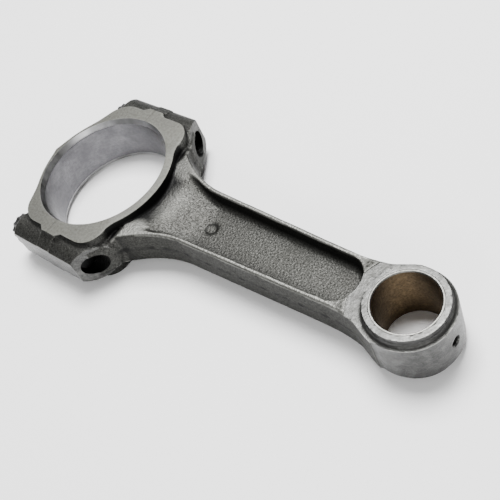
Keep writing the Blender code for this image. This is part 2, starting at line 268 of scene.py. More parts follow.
def screwShoulder(x, v):
    # how far past the plane of the sloping shoulder
    f = forging
    ahead = x - f["shoulderX"] + f["shoulderSlope"] * (v - f["screwY"])
    return ahead / math.hypot(1, f["shoulderSlope"])


def dowelHole(y, z):
    # one hole each side, set across from each other
    f = forging
    return np.hypot(np.abs(y) - f["dowelY"], np.sign(y) * z - f["dowelZ"]) - f["dowelHole"]


def rodField(x, y, z):
    # how far a point is outside the forging, in mm
    f = forging
    v, w = np.abs(y), np.abs(z)
    bigR = np.hypot(x, y)
    pinR = np.hypot(x - pinBoreDistance, y)

    # beam: its side is a straight taper with a parabola at each end
    flare = np.maximum(f["bigFlareFrom"] - x, 0)
    tail = np.maximum(x - f["smallFlareFrom"], 0)
    half = f["beamHalf"] - f["beamTaper"] * (x - f["beamMiddle"])
    half = half + f["bigFlare"] * flare**2 + f["smallFlare"] * tail**2
    lean = f["beamTaper"] + 2 * f["bigFlare"] * flare - 2 * f["smallFlare"] * tail
    flash = f["flashHeight"] * (0.6 + 0.4 * flashWave(x)) * np.exp(-(w / f["flashHalf"])**2)
    side = (v - half - f["sideSwell"] + f["sideDraft"] * w) / np.sqrt(1 + lean**2) - flash
    rise = f["topRise"] * np.clip((x - f["topRiseFrom"]) / f["topRiseLength"], 0, 1)
    neck = f["neckDrop"] * easeIn(np.clip((f["neckFrom"] - x) / f["neckLength"], 0, 1))
    outer = roundCut(side, w - f["beamTop"] - rise + neck, f["flangeEdge"])
    outer = np.maximum(outer, np.maximum(x - f["beamTo"], f["beamFrom"] - x))

    # pocket: a flat web that rises to the big end, with drafted walls and a round end
    opening = half - f["flangeWidth"]
    past = np.maximum(x - f["pocketRoundFrom"], 0) / f["pocketRoundLength"]
    wall = np.hypot(past * opening, v) - opening + f["pocketDraft"] * (f["beamTop"] - w)
    ramp = easeIn(np.clip((f["rampFrom"] - x) / (f["rampFrom"] - f["rampTo"]), 0, 1))
    dish = f["rampDish"] * (v / f["rampDishAt"])**2
    floor = f["webHalf"] + ramp * (f["rampHeight"] - f["webHalf"] + dish)
    dimpleR = np.hypot(x - f["dimpleAt"], y)
    dimple = 1 / (1 + np.exp((dimpleR - f["dimpleRadius"]) / f["dimpleEdge"]))
    dimple = dimple - f["dimpleHeartRise"] * np.exp(-(dimpleR / f["dimpleHeart"])**2)
    floor = floor - f["dimpleDepth"] * dimple
    pocket = roundCut(wall, (floor - w) * f["rampLean"], f["pocketFillet"])
    beam = roundCut(outer, -pocket, f["pocketEdge"])

    # big end: core, bosses, parting blocks and the thrust faces
    shoulder = screwShoulder(x, v)
    core = np.maximum(np.maximum(w - f["coreHalf"], v - f["bossY"]),
                      np.maximum(shoulder, x - f["coreTo"]))
    boss = roundCut(np.hypot(v - f["bossY"], w) - f["bossRadius"], shoulder, f["bossEdge"])
    body = roundJoin(roundJoin(beam, core, f["coreFillet"]), boss, f["bossFillet"])
    ear = roundCut(x - f["rodEarX"], v - f["earY"], f["rodEarRound"])
    ring = roundJoin(bigR - f["rodRing"], ear, f["earFillet"])
    outline = np.minimum(ring, blockStep(v, x - f["rodStepX"]))
    body = np.minimum(body, partingBlock(v, w, x - f["rodBlockX"]))
    body = roundJoin(body, np.maximum(outline, w - f["thrustHalf"]), f["wallFillet"])

    # small end: a round body, milled flat on its faces, with a turned ring
    disc = np.maximum(pinR - f["smallBody"], w - f["smallBodyHalf"])
    body = roundJoin(body, disc, f["smallFillet"])
    body = np.maximum(body, -np.maximum(pinR - f["millRadius"], f["millHalf"] - w))
    turned = np.maximum(pinR - f["smallRing"], w - f["smallRingHalf"])
    body = roundJoin(body, turned, f["ringFillet"])

    # machined cuts
    body = np.maximum(body, v - f["sideFlatY"])
    body = np.maximum(body, -crankBore(bigR, w))
    body = np.maximum(body, f["housing"] - pinR)
    hole = f["screwHole"] - np.hypot(v - f["screwY"], w)
    body = np.maximum(body, np.maximum(hole, f["screwHoleFrom"] - x))
    oilWay = np.hypot(y, z) - f["oilHole"]
    mouth = np.maximum(x - pinBoreDistance - f["smallBody"] + f["oilMouth"], 0)
    body = np.maximum(body, -np.maximum(oilWay - mouth, f["oilHoleFrom"] - x))
    body = np.maximum(body, -np.maximum(dowelHole(y, z), x - f["dowelDepth"]))
    return np.maximum(body, f["partingGap"] - x)


capShape = dict(
    ring=30.4, earX=-20.7, earJoinY=27.7, earRound=6.7, earLean=(-0.929, 0.369), earFillet=1.5,
    stepX=-3.0, blockX=-4.6, crown=33.9, crownHalf=7.8, crownEdge=2.2, coreFrom=24,
    seatX=-21.0, spotface=8.4, screwHole=5.55,
    gridLow=(-34.83, -43.33, -13.41), gridHigh=(1.1, 43.4, 13.5), cellSize=0.5)


def capField(x, y, z):
    # how far a point is outside the bearing cap, in mm
    f, c = forging, capShape
    v, w = np.abs(y), np.abs(z)
    bigR = np.hypot(x, y)
    crown = roundCut(bigR - c["crown"], w - c["crownHalf"], c["crownEdge"])
    seat = c["seatX"] - x
    core = np.maximum(np.maximum(w - f["coreHalf"], v - f["bossY"]),
                      np.maximum(seat, c["coreFrom"] - v))
    boss = roundCut(np.hypot(v - f["bossY"], w) - f["bossRadius"], seat, f["bossEdge"])
    body = roundJoin(roundJoin(crown, core, f["coreFillet"]), boss, f["bossFillet"])
    leanX, leanY = c["earLean"]
    earSide = leanX * (x - c["earX"]) + leanY * (v - c["earJoinY"])
    ear = roundCut(earSide, v - f["earY"], c["earRound"])
    ring = roundJoin(bigR - c["ring"], ear, c["earFillet"])
    outline = np.minimum(ring, blockStep(v, c["stepX"] - x))
    body = np.minimum(body, partingBlock(v, w, c["blockX"] - x))
    body = roundJoin(body, np.maximum(outline, w - f["thrustHalf"]), f["wallFillet"])

    # machined cuts
    body = np.maximum(body, v - f["sideFlatY"])
    body = np.maximum(body, -crankBore(bigR, w))
    hole = np.hypot(v - f["screwY"], w)
    body = np.maximum(body, c["screwHole"] - hole)
    body = np.maximum(body, -np.maximum(hole - c["spotface"], x - c["seatX"]))
    body = np.maximum(body, -np.maximum(dowelHole(y, z), -x - f["dowelDepth"]))
    return np.maximum(body, x + f["partingGap"])


def fade(value, start, width):
    # 0 up to the start, rising to 1 over the width
    return np.clip((value - start) / width, 0, 1)


# where the forged skin gets painted shade, is smooth, keeps its worn edges and gets painted
# highlights, in mm; a name that ends in Fade holds a start and a width
wearAndShade = dict(
    reaches=((1.0, 0.2), (2.4, 0.25), (5.0, 0.25), (9.0, 0.35)),  # how far out, and its share
    flashFrom=22, flashTo=140, flashSide=8, flashFade=(0.6, 1), flashShade=0.3,
    footFrom=20, footSide=24, footTop=11.5, footInner=32, footFade=(37, 3.5), footShade=0.45,
    dimpleRim=2.3, dimpleRimWidth=0.5, dimpleShade=0.3, dimpleKeptTo=4.5, dimpleKept=0.35,
    uprightFade=(0.2, 0.8), bossSideFade=(29, 4), bossEndFade=(25, 3), bossSmooth=0.1,
    partingFade=(0.6, 1.5), shoulderFrom=14, shoulderTo=30, shoulderSide=26, shoulderKept=0.25,
    footKeptTo=41, footKept=0.3, levelFade=(2 / 3, 1 / 3), aboveFade=(3, 3), spotFade=(0.3, 1),
    rootAt=(32, 18), rootSize=(7, 6), rootHighlight=0.65, farHighlight=0.35,
    rampAt=(41, 0), rampSize=(13, 14), rampHighlight=0.3,
    rimTopFade=(7.4, 0.6), rimEndFade=(128, 6), rimHighlight=0.27, highlightFrom=24,
    heartSize=0.9, heartHighlight=0.3)


def markForging(piece, field):
    # The corner mark is painted shade: near 0 in the open and near 1 in a corner, how far the
    # solid's distance, a few mm out along the normal, falls short of those few mm, with more
    # painted shade at the foot of the ring wall and round the dimple's rim, and a dark line along
    # the flash.  The side mark is near 1 on upright walls, where the skin is smoother and darker:
    # partly its own scale and partly painted shade.  Edge loses what lies along the parting plane,
    # the flash line, the dimple and the screw holes, and gains painted highlights at the root of
    # the beam, on the ramp, along the top faces and in the dimple's middle.
    k = wearAndShade
    points, normals = pointsOf(piece)
    x, v, w = points[:, 0], np.abs(points[:, 1]), np.abs(points[:, 2])
    level = np.abs(normals[:, 2])
    bigR = np.hypot(x, v)
    dimpleR = np.hypot(x - forging["dimpleAt"], v)

    # painted shade in corners: the solid's distance a few mm out along the normal, short of those
    # mm
    shadeAndFlash = np.zeros(len(points))
    for distance, share in k["reaches"]:
        out = points + distance * normals
        shadeAndFlash += share * np.clip(1 - field(*out.T) / distance, 0, 1)
    onBeam = (x > k["flashFrom"]) & (x < k["flashTo"]) & (v > k["flashSide"])
    flash = onBeam * (1 - fade(w, *k["flashFade"]))
    shadeAndFlash = np.maximum(shadeAndFlash, flash * k["flashShade"] * (1 + flashWave(x)))
    # painted shade at the foot of the ring wall, inside the beam's pocket
    foot = (x > k["footFrom"]) & (v < k["footSide"]) & (w < k["footTop"]) & (bigR > k["footInner"])
    shadeAndFlash += foot * k["footShade"] * (1 - fade(bigR, *k["footFade"]))
    # painted shade round the dimple's rim
    rimGap = (dimpleR - k["dimpleRim"]) / k["dimpleRimWidth"]
    shadeAndFlash += k["dimpleShade"] * np.exp(-rimGap**2)
    saveMark(piece, "shadeAndFlash", shadeAndFlash)

    # upright walls darker: partly the skin's own scale, partly painted shade on the sides
    upright = 1 - fade(level, *k["uprightFade"])
    boss = fade(v, *k["bossSideFade"]) * (1 - fade(x, *k["bossEndFade"]))
    saveMark(piece, "scaleAndSideShade", np.maximum(upright, k["bossSmooth"] * boss))

    kept = fade(np.abs(x), *k["partingFade"]) * (1 - flash)
    kept *= np.where(dimpleR < k["dimpleKeptTo"], k["dimpleKept"], 1)
    shoulder = (v > k["shoulderSide"]) & (x > k["shoulderFrom"]) & (x < k["shoulderTo"])
    kept *= np.where(shoulder, k["shoulderKept"], 1)
    kept *= np.where((bigR < k["footKeptTo"]) & (v < k["footSide"]), k["footKept"], 1)

    def spot(centre, size):
        # 1 in the middle of an ellipse on the upper side, fading past its edge: the shape of a
        # painted highlight
        gap = np.hypot((x - centre[0]) / size[0], (v - centre[1]) / size[1])
        return 1 - fade(gap, *k["spotFade"])

    # painted highlights, added to the edge mark: a spot at the root of the beam, full on the near
    # side and weaker on the far side, a spot on the ramp, a band along the top faces, and a spot in
    # the dimple's middle
    nearSideLit = np.where(points[:, 1] < 0, 1.0, k["farHighlight"])
    rim = fade(w, *k["rimTopFade"]) * (1 - fade(x, *k["rimEndFade"]))
    wearAndHighlight = k["rootHighlight"] * spot(k["rootAt"], k["rootSize"]) * nearSideLit
    wearAndHighlight = wearAndHighlight + k["rampHighlight"] * spot(k["rampAt"], k["rampSize"]) + k["rimHighlight"] * rim
    wearAndHighlight = wearAndHighlight * fade(level, *k["levelFade"]) * fade(w, *k["aboveFade"]) * (x > k["highlightFrom"])
    wearAndHighlight = wearAndHighlight + k["heartHighlight"] * np.exp(-(dimpleR / k["heartSize"])**2)
    edge = np.zeros(len(points), np.float32)
    piece.data.attributes["edge"].data.foreach_get("value", edge)
    saveMark(piece, "edge", edge * kept + wearAndHighlight)


def forgedPiece(name, field, shape):
    # the skin of a field inside the shape's grid, shaded and marked for wear
    piece = skinOf(name, field, shape["gridLow"], shape["gridHigh"], shape["cellSize"])
    shadeRound(piece, forging["sharpAngle"])
    markEdges(piece)
    markForging(piece, field)
    print(name, "made:", len(piece.data.polygons), "faces")
    return piece


rodPiece = forgedPiece("rodForging", rodField, forging)
capPiece = forgedPiece("bearingCap", capField, capShape)


def gridPiece(name, points, closedAlong=False, mergeWithin=0.002):
    # points[i, j] is a surface of two parameters: i runs along the profile, j round the axis.
    # Rows that shrink to a point are merged, which closes the ends.
    rows, columns = points.shape[:2]
    steps = np.arange(rows if closedAlong else rows - 1)
    i, j = np.meshgrid(steps, np.arange(columns), indexing="ij")
    following, beside = (i + 1) % rows, (j + 1) % columns
    faces = np.stack([i * columns + j, following * columns + j,
                      following * columns + beside, i * columns + beside], -1).reshape(-1, 4)
    piece = meshPiece(name, points.reshape(-1, 3), faces)
    bm = bmesh.new()
    bm.from_mesh(piece.data)
    bmesh.ops.remove_doubles(bm, verts=bm.verts, dist=mergeWithin * mm)
    bmesh.ops.recalc_face_normals(bm, faces=bm.faces)
    bm.to_mesh(piece.data)
    bm.free()
    return piece


def turnRound(count):
    # that many angles, evenly spaced round a circle
    return np.linspace(0, 2 * np.pi, count, endpoint=False)


screwShape = dict(
    length=38.1, seat=-21.3, headHeight=6.2, headRadius=5.34, flangeRadius=7.15,
    flangeThickness=1.8, pilotRadius=5.18, pilotLength=20.5, threadOuter=4.84, threadInner=4.2,
    pitch=1.27, threadSteps=8, around=96, sharpAngle=35, tipFrom=12, tipFacing=0.6)


def capScrew(name, side):
    # A profile of (place along X, radius, share of star) turned round X.  The head's outline
    # is two hexagons a twelfth of a turn apart.  The thread's radius is a triangle wave of
    # the length, which moves on one pitch a turn.
    c = screwShape
    top, seat, tip, shank = -c["headHeight"], 0.0, c["length"], c["pilotLength"]
    flange, head, wide = seat - c["flangeThickness"], c["headRadius"], c["flangeRadius"]
    root = c["threadInner"]
    profile = np.array([
        (top + 0.7, 0.0, 0), (top + 0.7, 2.2, 0), (top, 2.9, 0), (top, 4.6, 0),
        (top + 0.15, 4.95, 0.6), (top + 0.7, head, 1), (flange - 1.2, head, 1),
        (flange - 0.3, head, 1), (flange, 5.5, 0.4), (flange, 6.6, 0), (flange + 0.3, 6.98, 0),
        (flange + 0.7, wide, 0), (seat - 0.25, wide, 0), (seat, 6.9, 0), (seat, 5.5, 0),
        (seat + 0.5, c["pilotRadius"], 0), (shank - 0.6, c["pilotRadius"], 0),
        (shank, root + 0.1, 0)])
    end = np.array([(tip - 0.8, root, 0), (tip - 0.3, root - 0.15, 0), (tip, root - 0.5, 0),
                    (tip, 0.0, 0)])
    stations = np.arange(shank + 0.1, tip - 0.9, c["pitch"] / c["threadSteps"])
    thread = np.stack([stations, np.full(len(stations), c["threadOuter"]),
                       np.zeros(len(stations))], 1)
    along, radius, star = np.concatenate([profile, thread, end]).T[:, :, None]
    threaded = np.repeat([0, 1, 0], [len(profile), len(thread), len(end)])[:, None]
    angle = turnRound(c["around"])[None, :]
    sixth = np.pi / 3
    hexagon = 1 / np.cos(np.abs(np.mod(angle, sixth) - sixth / 2))
    turnedHexagon = 1 / np.cos(np.abs(np.mod(angle + sixth / 2, sixth) - sixth / 2))
    wave = np.abs(2 * np.mod(along / c["pitch"] - angle / (2 * np.pi), 1) - 1)
    depth = (c["threadOuter"] - root) * np.clip(1.25 * wave - 0.12, 0, 1)
    r = radius * (1 + star * (np.maximum(hexagon, turnedHexagon) - 1)) - threaded * depth
    points = np.stack([np.broadcast_to(c["seat"] + along, r.shape),
                       side * forging["screwY"] + r * np.cos(angle), r * np.sin(angle)], -1)
    piece = gridPiece(name, points)
    shadeRound(piece, c["sharpAngle"])
    markEdges(piece)
    return piece


bushingShape = dict(outer=12.67, inner=11.77, half=12.6, bevel=0.35, outerBevel=0.1, around=192,
                    oilHole=1.8, drillFrom=8.0, drillTo=18.0, drillAround=40, sharpAngle=30,
                    endFacing=0.5)


def pinBushing(name):
    # a closed ring: the section is a thin rectangle with bevelled corners, turned round Z,
    # and a drill along X takes out the oil hole
    c = bushingShape
    a, b, h, k, edge = c["inner"], c["outer"], c["half"], c["bevel"], c["outerBevel"]
    section = np.array([
        (a, -h + k), (a, -h / 2), (a, 0), (a, h / 2), (a, h - k), (a + k, h), (b - edge, h),
        (b, h - edge), (b, 0), (b, -h + edge), (b - edge, -h), (a + k, -h)])
    radius, height = section.T[:, :, None]
    angle = turnRound(c["around"])[None, :]
    points = np.stack([pinBoreDistance + radius * np.cos(angle), radius * np.sin(angle),
                       np.broadcast_to(height, (len(section), c["around"]))], -1)
    piece = gridPiece(name, points, closedAlong=True)
    reach = np.array([c["drillFrom"], c["drillFrom"], c["drillTo"], c["drillTo"]])[:, None]
    drillRadius = np.array([0.0, c["oilHole"], c["oilHole"], 0.0])[:, None]
    angle = turnRound(c["drillAround"])[None, :]
    drillPoints = np.stack([np.broadcast_to(pinBoreDistance + reach, (4, c["drillAround"])),
                            drillRadius * np.cos(angle), drillRadius * np.sin(angle)], -1)
    drill = gridPiece("drill", drillPoints)
    cut = piece.modifiers.new("oilHole", "BOOLEAN")
    cut.object, cut.operation, cut.solver = drill, "DIFFERENCE", "EXACT"
    bpy.context.view_layer.update()
    finished = piece.evaluated_get(bpy.context.evaluated_depsgraph_get())
    drilled = bpy.data.meshes.new_from_object(finished)
    piece.modifiers.clear()
    piece.data = drilled
    bpy.data.objects.remove(drill)
    shadeRound(piece, c["sharpAngle"])
    return piece


dowelShape = dict(radius=1.5, half=3.6, bevel=0.35, dome=0.05, around=48, sharpAngle=30)


def dowelPin(name, side):
    # a cylinder along X with a bevel and a slightly domed face at each end
    c = dowelShape
    r, h, k, dome = c["radius"], c["half"], c["bevel"], c["dome"]
    profile = np.array([(-h, 0), (-h + dome, r - k), (-h + k, r), (0, r), (h - k, r),
                        (h - dome, r - k), (h, 0)])
    along, radius = profile.T[:, :, None]
    angle = turnRound(c["around"])[None, :]
    points = np.stack([np.broadcast_to(along, (len(profile), c["around"])),
                       side * forging["dowelY"] + radius * np.cos(angle),
                       side * forging["dowelZ"] + radius * np.sin(angle)], -1)
    piece = gridPiece(name, points)
    shadeRound(piece, c["sharpAngle"])
    return piece


screwNear, screwFar = capScrew("capScrewNear", -1), capScrew("capScrewFar", 1)
bushing = pinBushing("pinBushing")
dowelNear, dowelFar = dowelPin("dowelNear", -1), dowelPin("dowelFar", 1)
print("screws, bushing and dowels made")


def node(tree, kind, values=None, **settings):
    # a new node: its settings first, then each input as a value or a link from a socket
    made = tree.nodes.new(kind)
    for key, value in settings.items():
        setattr(made, key, value)
    for key, value in (values or {}).items():
        if isinstance(value, bpy.types.NodeSocket):
            tree.links.new(value, made.inputs[key])
        else:
            made.inputs[key].default_value = value
    return made


def useGroup(tree, group, values):
    # a shader group placed in a material, with its own values
    return node(tree, "ShaderNodeGroup", values, node_tree=group)


def newGroup(name, inputs, outputs):
    # a shader group with those inputs and outputs, as pairs of a label and a kind
    tree = bpy.data.node_groups.new(name, "ShaderNodeTree")
    for label, kind in inputs:
        tree.interface.new_socket(label, in_out="INPUT", socket_type="NodeSocket" + kind)
    for label, kind in outputs:
        tree.interface.new_socket(label, in_out="OUTPUT", socket_type="NodeSocket" + kind)
    return tree, tree.nodes.new("NodeGroupInput").outputs, tree.nodes.new("NodeGroupOutput").inputs


def mathNode(tree, operation, *values):
    # one Math node's result
    return node(tree, "ShaderNodeMath", dict(enumerate(values)), operation=operation).outputs[0]


def blendColor(tree, share, first, second):
    # first where share is 0, second where it is 1; a plain colour is three numbers
    colors = [(*color, 1) if isinstance(color, tuple) else color for color in (first, second)]
    return node(tree, "ShaderNodeMix", {0: share, 6: colors[0], 7: colors[1]},
                data_type="RGBA").outputs[2]


def spread(tree, value, low, high, top=1.0):
    # 0 up to low, rising to top at high
    return node(tree, "ShaderNodeMapRange", {"Value": value, "From Min": low, "From Max": high,
                                             "To Max": top}).outputs["Result"]


def makePeenedGrain():
    # shot-blasted skin: small bright specks, and dents of two sizes
    tree, given, out = newGroup("peenedGrain", [("Vector", "Vector"), ("Scale", "Float")],
                                [("Specks", "Float"), ("Height", "Float")])
    noise = node(tree, "ShaderNodeTexNoise", {
        "Vector": given["Vector"], "Scale": given["Scale"], "Detail": 3.0, "Roughness": 0.65})
    dents = node(tree, "ShaderNodeTexVoronoi", {
        "Vector": given["Vector"], "Scale": mathNode(tree, "MULTIPLY", given["Scale"], 0.62)})
    height = mathNode(tree, "MULTIPLY_ADD", dents.outputs["Distance"], 0.6, noise.outputs["Fac"])
    tree.links.new(spread(tree, noise.outputs["Fac"], 0.31, 0.70), out["Specks"])
    tree.links.new(height, out["Height"])
    return tree


def makeToolMarks():
    # fine scratches, long in the directions where Stretch is small
    tree, given, out = newGroup(
        "toolMarks", [("Vector", "Vector"), ("Stretch", "Vector"), ("Scale", "Float")],
        [("Lines", "Float"), ("Height", "Float")])
    stretched = node(tree, "ShaderNodeVectorMath", {0: given["Vector"], 1: given["Stretch"]},
                     operation="MULTIPLY")
    fine = node(tree, "ShaderNodeTexNoise", {
        "Vector": stretched.outputs[0], "Scale": given["Scale"], "Detail": 4.0,
        "Roughness": 0.6}).outputs["Fac"]
    tree.links.new(spread(tree, fine, 0.3, 0.7), out["Lines"])
    tree.links.new(fine, out["Height"])
    return tree


def makeStaining():
    # soft patches of handling and oil
    tree, given, out = newGroup("staining", [("Vector", "Vector"), ("Scale", "Float")],
                                [("Patches", "Float")])
    broad = node(tree, "ShaderNodeTexNoise", {
        "Vector": given["Vector"], "Scale": given["Scale"], "Detail": 3.0, "Roughness": 0.55,
        "Distortion": 0.4})
    tree.links.new(spread(tree, broad.outputs["Fac"], 0.3, 0.7), out["Patches"])
    return tree


def makeWearAndPaintedLight():
    # darkens a colour on upright walls, partly scale and partly painted shade, and with painted
    # shade in corners; lightens worn edges and, on the forging, paints highlights
    tree, given, out = newGroup(
        "wearAndPaintedLight", [("Color", "Color"), ("Wear And Highlight", "Color"), ("Shade And Scale", "Color"),
                     ("Edge Amount", "Float"), ("Shade And Flash Amount", "Float"),
                     ("Scale And Side Shade Amount", "Float")],
        [("Color", "Color"), ("Scale And Side Shade", "Float")])
    edge, shadeAndFlash, scaleAndSideShade = (node(tree, "ShaderNodeAttribute", attribute_name=name).outputs["Fac"]
                             for name in ("edge", "shadeAndFlash", "scaleAndSideShade"))
    # the side mark darkens as partly scale and partly painted shade, the corner mark as painted
    # shade, and the edge mark lightens worn edges and painted highlights
    side = spread(tree, scaleAndSideShade, 0.15, 0.85, given["Scale And Side Shade Amount"])
    shaded = spread(tree, shadeAndFlash, 0.05, 0.6, given["Shade And Flash Amount"])
    lighten = spread(tree, edge, 0.12, 0.75, given["Edge Amount"])
    color = blendColor(tree, side, given["Color"], given["Shade And Scale"])
    color = blendColor(tree, shaded, color, given["Shade And Scale"])
    color = blendColor(tree, lighten, color, given["Wear And Highlight"])
    tree.links.new(color, out["Color"])
    tree.links.new(scaleAndSideShade, out["Scale And Side Shade"])
    return tree


peenedGrain, toolMarks = makePeenedGrain(), makeToolMarks()
staining, wearAndPaintedLight = makeStaining(), makeWearAndPaintedLight()


def steelMaterial(name, look):
    # one metal: a base colour varied by grain, scratches and stains, then worn at its edges and
    # given painted shade and painted highlights from the piece's marks
    material = bpy.data.materials.new(name)
    material.use_nodes = True
    tree = material.node_tree
    shader = tree.nodes["Principled BSDF"]
    place = node(tree, "ShaderNodeTexCoord").outputs["Object"]
    grain = useGroup(tree, peenedGrain, {"Vector": place, "Scale": look["grainScale"]}).outputs
    marks = useGroup(tree, toolMarks, {"Vector": place, "Stretch": look["stretch"],
                                       "Scale": look["markScale"]}).outputs
    patches = useGroup(tree, staining, {"Vector": place, "Scale": look["stainScale"]}).outputs[0]
    color = blendColor(tree, grain["Specks"], look["dark"], look["light"])
    lines = mathNode(tree, "MULTIPLY", marks["Lines"], look["markAmount"])
    color = blendColor(tree, lines, color, look["markColor"])
    stain = mathNode(tree, "MULTIPLY", patches, look["stainAmount"])
    color = blendColor(tree, stain, color, look["stainColor"])
    worn = useGroup(tree, wearAndPaintedLight, {
        "Color": color, "Wear And Highlight": (*look["wearAndHighlight"], 1), "Shade And Scale": (*look["shadeAndScale"], 1),
        "Edge Amount": look["edgeAmount"], "Shade And Flash Amount": look["shadeAndFlashAmount"],
        "Scale And Side Shade Amount": look["scaleAndSideShadeAmount"]}).outputs
    tree.links.new(worn["Color"], shader.inputs["Base Color"])
    shader.inputs["Metallic"].default_value = look["metallic"]
    shader.inputs["Specular IOR Level"].default_value = look["sheen"]
    shader.inputs["Specular Tint"].default_value = (look["sheen"] * 2,) * 3 + (1,)
    rough = mathNode(tree, "MULTIPLY_ADD", grain["Specks"], -look["roughSpread"], look["roughness"])
    rough = mathNode(tree, "MULTIPLY_ADD", patches, look["stainRough"], rough)
    tree.links.new(rough, shader.inputs["Roughness"])
    deep, smoothed = look["grainHeight"], look["scaledSmooth"]
    grainDepth = mathNode(tree, "MULTIPLY_ADD", worn["Scale And Side Shade"], -smoothed * deep, deep)
    height = mathNode(tree, "MULTIPLY", grain["Height"], grainDepth)
    height = mathNode(tree, "MULTIPLY_ADD", marks["Height"], look["markHeight"], height)
    bump = node(tree, "ShaderNodeBump", {"Height": height, "Strength": 1.0, "Distance": 1.0})
    tree.links.new(bump.outputs["Normal"], shader.inputs["Normal"])
    return material


# heights are in metres and scales in waves a metre; the looks after it say what differs
plainSteel = dict(
    # the third colour on the next line darkens corners and upright walls: painted shade in corners,
    # and on upright walls partly scale and partly painted shade
    dark=(0.30, 0.30, 0.285), light=(0.42, 0.42, 0.40), shadeAndScale=(0.03, 0.03, 0.028),
    metallic=1.0, sheen=0.5, roughness=0.42, roughSpread=0.08,
    grainScale=1500.0, grainHeight=0.00001,
    markColor=(0.5, 0.5, 0.48), markAmount=0.2, markScale=900.0, markHeight=0.00001,
    stretch=(1, 1, 1),
    stainColor=(0.26, 0.26, 0.24), stainAmount=0.3, stainScale=70.0, stainRough=0.08,
    # the light colour, mixed in on worn edges and, on the forging, at its painted highlights
    wearAndHighlight=(0.7, 0.7, 0.68), edgeAmount=0.6, shadeAndFlashAmount=0.6, scaleAndSideShadeAmount=0.0,
    scaledSmooth=0.75)

looks = dict(
    forgedSkin=dict(
        dark=(0.009, 0.009, 0.0082), light=(0.084, 0.084, 0.078), shadeAndScale=(0.010, 0.010, 0.010),
        metallic=0.9, sheen=0.32, roughness=0.50, roughSpread=0.12, grainHeight=0.00019,
        markAmount=0.0, stainColor=(0.036, 0.036, 0.032), stainAmount=0.35, stainScale=60.0,
        wearAndHighlight=(0.28, 0.28, 0.26), shadeAndFlashAmount=0.96, scaleAndSideShadeAmount=0.2),
    milledFace=dict(
        dark=(0.12, 0.12, 0.105), light=(0.15, 0.15, 0.131), roughness=0.45, grainScale=900.0,
        grainHeight=0.00002, stainColor=(0.085, 0.085, 0.07),
        wearAndHighlight=(0.35, 0.35, 0.33), edgeAmount=0.25, shadeAndFlashAmount=0.2),
    honedBore=dict(
        dark=(0.10, 0.098, 0.108), light=(0.145, 0.142, 0.153), roughness=0.38,
        grainScale=700.0, stretch=(1, 1, 25), markScale=300.0, markAmount=0.15,
        markHeight=0.00002, stainColor=(0.085, 0.083, 0.09), stainAmount=0.65, stainScale=90.0,
        edgeAmount=0.4, shadeAndFlashAmount=0.1),
    # its near-white stain patches paint glints: painted reflections of the lamps on the bore's
    # chamfer
    boreChamferGlint=dict(
        dark=(0.10, 0.10, 0.095), light=(0.15, 0.15, 0.145), roughness=0.34, markAmount=0.1,
        stainColor=(0.85, 0.85, 0.87), stainAmount=0.8, stainScale=45.0,
        edgeAmount=0.3, shadeAndFlashAmount=0.0),
    turnedSteel=dict(
        dark=(0.038, 0.038, 0.036), light=(0.062, 0.062, 0.059), roughness=0.38,
        grainScale=1300.0, grainHeight=0.00004, stretch=(1, 1, 10), markScale=450.0,
        markAmount=0.4, markHeight=0.00009, markColor=(0.15, 0.15, 0.147),
        stainColor=(0.042, 0.042, 0.040), stainAmount=0.5, stainScale=160.0,
        wearAndHighlight=(0.3, 0.3, 0.29), edgeAmount=0.08, shadeAndFlashAmount=0.85),
    brushedSide=dict(
        dark=(0.050, 0.050, 0.049), light=(0.105, 0.105, 0.103), roughness=0.36,
        grainScale=1300.0, grainHeight=0.00005, stretch=(1, 1, 9), markScale=500.0,
        markAmount=0.55, markHeight=0.00012, markColor=(0.20, 0.20, 0.197),
        stainColor=(0.035, 0.035, 0.034), stainAmount=0.7, stainScale=260.0,
        wearAndHighlight=(0.3, 0.3, 0.29), edgeAmount=0.1, shadeAndFlashAmount=0.85),
    dullFace=dict(
        dark=(0.03, 0.03, 0.03), light=(0.065, 0.065, 0.063), sheen=0.4, roughness=0.45,
        grainScale=1100.0, grainHeight=0.00010, stainColor=(0.03, 0.03, 0.03),
        stainAmount=0.5, stainScale=110.0, wearAndHighlight=(0.2, 0.2, 0.19), edgeAmount=0.25),
    # near black: painted shade inside the screw and oil holes and on the screw tips
    threadedHoleShade=dict(
        dark=(0.004, 0.004, 0.004), light=(0.012, 0.012, 0.012), stretch=(8, 0.3, 0.3),
        markScale=300.0, markAmount=0.5, markHeight=0.0003, markColor=(0.03, 0.03, 0.03),
        stainAmount=0.0, edgeAmount=0.0),
    blackOxide=dict(
        dark=(0.022, 0.023, 0.025), light=(0.045, 0.045, 0.047), roughness=0.38,
        grainHeight=0.00002, markAmount=0.1, stainColor=(0.05, 0.045, 0.04),
        stainAmount=0.2, wearAndHighlight=(0.16, 0.16, 0.16), edgeAmount=0.35),
    bushingBronze=dict(
        dark=(0.045, 0.030, 0.016), light=(0.18, 0.125, 0.066), grainScale=1300.0,
        grainHeight=0.00003, stretch=(1, 1, 10), markScale=300.0, markAmount=0.3,
        markColor=(0.17, 0.12, 0.06), stainColor=(0.06, 0.042, 0.024), stainAmount=0.6,
        stainScale=170.0, edgeAmount=0.0, shadeAndFlashAmount=0.0),
    bushingEnd=dict(
        dark=(0.038, 0.037, 0.034), light=(0.062, 0.060, 0.055), roughness=0.40,
        edgeAmount=0.0, shadeAndFlashAmount=0.0),
    groundPin=dict(
        dark=(0.5, 0.5, 0.51), light=(0.6, 0.6, 0.61), roughness=0.25, stretch=(1, 12, 12),
        edgeAmount=0.0, shadeAndFlashAmount=0.0))
materials = {name: steelMaterial(name, {**plainSteel, **look}) for name, look in looks.items()}
print("materials made:", ", ".join(materials))


